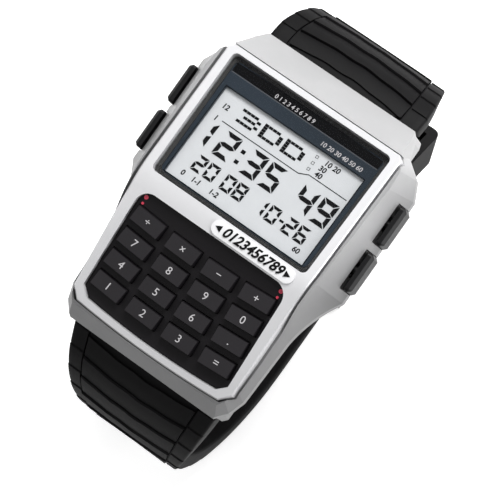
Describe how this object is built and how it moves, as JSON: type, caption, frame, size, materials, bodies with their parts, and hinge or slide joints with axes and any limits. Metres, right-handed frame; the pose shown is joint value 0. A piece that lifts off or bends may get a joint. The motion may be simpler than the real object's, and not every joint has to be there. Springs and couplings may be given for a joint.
{
  "type": "calculator watch",
  "caption": "Digital wristwatch with a calculator keypad: framed display, pressing keys, side pushers and a ribbed resin strap closed in a loop by a pin buckle.",
  "frame": {"origin": "on the surface that the closed strap stands on, straight under the middle of the case", "axes": "+Z out of the watch face, +Y to 12 o'clock along the strap, +X to 3 o'clock"},
  "size_m": [0.0376, 0.0662, 0.0462],
  "materials": {
    "case_resin": "satin metallic silver over resin",
    "bezel_silver": "satin silver, slightly brighter at the display end",
    "plate_silver": "bright satin silver",
    "crystal": "clear, polished",
    "seal_rubber": "matte black",
    "mask_slate": "dark slate, gloss",
    "lcd_glass": "pale grey display, polished",
    "panel_white": "pale lit sheet",
    "keypad_black": "fine matte black",
    "dot_red": "red enamel",
    "board_green": "solder mask",
    "chip_black": "matte",
    "plated_steel": "bright plated",
    "holder_white": "moulded, matte",
    "brass_sheet": "plain brass",
    "back_steel": "circular brushed",
    "strap_resin": "satin black resin",
    "buckle_black": "black coated",
    "key_dark": "dark grey, slightly glossy edges",
    "pusher_dark": "black, two facets"
  },
  "bodies": {
    "watch": {"case_body": "case_resin", "front_bezel": "bezel_silver", "number_plate": "plate_silver", "display_crystal": "crystal", "crystal_gasket": "seal_rubber", "display_frame": "mask_slate", "lcd_cell": "lcd_glass", "light_panel": "panel_white", "connector_strips": "seal_rubber", "keypad_plate": "keypad_black", "signal_dots": "dot_red", "keypad_membrane": "seal_rubber", "key_board": "board_green", "circuit_board": "board_green", "processor_chip": "chip_black", "quartz_crystal": "plated_steel", "battery_cell": "plated_steel", "battery_clip": "plated_steel", "module_holder": "holder_white", "buzzer_disc": "brass_sheet", "buzzer_spring": "plated_steel", "back_gasket": "seal_rubber", "case_back": "back_steel", "back_screws": "plated_steel", "pusher_seals": "seal_rubber", "strap_upper": "strap_resin", "strap_lower": "strap_resin", "spring_bars": "plated_steel", "buckle_pin": "plated_steel", "strap_keeper_fixed": "strap_resin", "pusher_springs": "plated_steel"},
    "key_0_body": {"key_0": "key_dark"},
    "key_1_body": {"key_1": "key_dark"},
    "key_2_body": {"key_2": "key_dark"},
    "key_3_body": {"key_3": "key_dark"},
    "key_4_body": {"key_4": "key_dark"},
    "key_5_body": {"key_5": "key_dark"},
    "key_6_body": {"key_6": "key_dark"},
    "key_7_body": {"key_7": "key_dark"},
    "key_8_body": {"key_8": "key_dark"},
    "key_9_body": {"key_9": "key_dark"},
    "key_plus_body": {"key_plus": "key_dark"},
    "key_minus_body": {"key_minus": "key_dark"},
    "key_times_body": {"key_times": "key_dark"},
    "key_divide_body": {"key_divide": "key_dark"},
    "key_point_body": {"key_point": "key_dark"},
    "key_equals_body": {"key_equals": "key_dark"},
    "pusher_upper_left_body": {"pusher_upper_left": "pusher_dark", "pusher_clip_upper_left": "plated_steel"},
    "pusher_upper_right_body": {"pusher_upper_right": "pusher_dark", "pusher_clip_upper_right": "plated_steel"},
    "pusher_lower_left_body": {"pusher_lower_left": "pusher_dark", "pusher_clip_lower_left": "plated_steel"},
    "pusher_lower_right_body": {"pusher_lower_right": "pusher_dark", "pusher_clip_lower_right": "plated_steel"},
    "buckle": {"buckle_frame": "buckle_black"},
    "tongue": {"buckle_tongue": "buckle_black"},
    "free_keeper": {"strap_keeper_free": "strap_resin"}
  },
  "joints": [
    {"name": "key_0_press", "type": "slide", "parent": "watch", "child": "key_0_body", "axis": [0, 0.225, -0.9744], "range_m": [0, 0.0005], "stiffness_N_per_m": 400},
    {"name": "key_1_press", "type": "slide", "parent": "watch", "child": "key_1_body", "axis": [0, 0.225, -0.9744], "range_m": [0, 0.0005], "stiffness_N_per_m": 400},
    {"name": "key_2_press", "type": "slide", "parent": "watch", "child": "key_2_body", "axis": [0, 0.225, -0.9744], "range_m": [0, 0.0005], "stiffness_N_per_m": 400},
    {"name": "key_3_press", "type": "slide", "parent": "watch", "child": "key_3_body", "axis": [0, 0.225, -0.9744], "range_m": [0, 0.0005], "stiffness_N_per_m": 400},
    {"name": "key_4_press", "type": "slide", "parent": "watch", "child": "key_4_body", "axis": [0, 0.225, -0.9744], "range_m": [0, 0.0005], "stiffness_N_per_m": 400},
    {"name": "key_5_press", "type": "slide", "parent": "watch", "child": "key_5_body", "axis": [0, 0.225, -0.9744], "range_m": [0, 0.0005], "stiffness_N_per_m": 400},
    {"name": "key_6_press", "type": "slide", "parent": "watch", "child": "key_6_body", "axis": [0, 0.225, -0.9744], "range_m": [0, 0.0005], "stiffness_N_per_m": 400},
    {"name": "key_7_press", "type": "slide", "parent": "watch", "child": "key_7_body", "axis": [0, 0.225, -0.9744], "range_m": [0, 0.0005], "stiffness_N_per_m": 400},
    {"name": "key_8_press", "type": "slide", "parent": "watch", "child": "key_8_body", "axis": [0, 0.225, -0.9744], "range_m": [0, 0.0005], "stiffness_N_per_m": 400},
    {"name": "key_9_press", "type": "slide", "parent": "watch", "child": "key_9_body", "axis": [0, 0.225, -0.9744], "range_m": [0, 0.0005], "stiffness_N_per_m": 400},
    {"name": "key_plus_press", "type": "slide", "parent": "watch", "child": "key_plus_body", "axis": [0, 0.225, -0.9744], "range_m": [0, 0.0005], "stiffness_N_per_m": 400},
    {"name": "key_minus_press", "type": "slide", "parent": "watch", "child": "key_minus_body", "axis": [0, 0.225, -0.9744], "range_m": [0, 0.0005], "stiffness_N_per_m": 400},
    {"name": "key_times_press", "type": "slide", "parent": "watch", "child": "key_times_body", "axis": [0, 0.225, -0.9744], "range_m": [0, 0.0005], "stiffness_N_per_m": 400},
    {"name": "key_divide_press", "type": "slide", "parent": "watch", "child": "key_divide_body", "axis": [0, 0.225, -0.9744], "range_m": [0, 0.0005], "stiffness_N_per_m": 400},
    {"name": "key_point_press", "type": "slide", "parent": "watch", "child": "key_point_body", "axis": [0, 0.225, -0.9744], "range_m": [0, 0.0005], "stiffness_N_per_m": 400},
    {"name": "key_equals_press", "type": "slide", "parent": "watch", "child": "key_equals_body", "axis": [0, 0.225, -0.9744], "range_m": [0, 0.0005], "stiffness_N_per_m": 400},
    {"name": "pusher_upper_left_press", "type": "slide", "parent": "watch", "child": "pusher_upper_left_body", "axis": [1, 0, 0], "range_m": [0, 0.0006], "stiffness_N_per_m": 800},
    {"name": "pusher_upper_right_press", "type": "slide", "parent": "watch", "child": "pusher_upper_right_body", "axis": [-1, 0, 0], "range_m": [0, 0.0006], "stiffness_N_per_m": 800},
    {"name": "pusher_lower_left_press", "type": "slide", "parent": "watch", "child": "pusher_lower_left_body", "axis": [1, 0, 0], "range_m": [0, 0.0006], "stiffness_N_per_m": 800},
    {"name": "pusher_lower_right_press", "type": "slide", "parent": "watch", "child": "pusher_lower_right_body", "axis": [-1, 0, 0], "range_m": [0, 0.0006], "stiffness_N_per_m": 800},
    {"name": "buckle_hinge", "type": "hinge", "parent": "watch", "child": "buckle", "pos_m": [0, 0.0076, 0.0054], "axis": [1, 0, 0], "range_deg": [0, 8]},
    {"name": "tongue_hinge", "type": "hinge", "parent": "buckle", "child": "tongue", "pos_m": [0, 0.0076, 0.0054], "axis": [1, 0, 0], "range_deg": [0, 12]},
    {"name": "keeper_slide", "type": "slide", "parent": "watch", "child": "free_keeper", "axis": [0, 0.5299, 0.848], "range_m": [0, 0.003]}
  ]
}
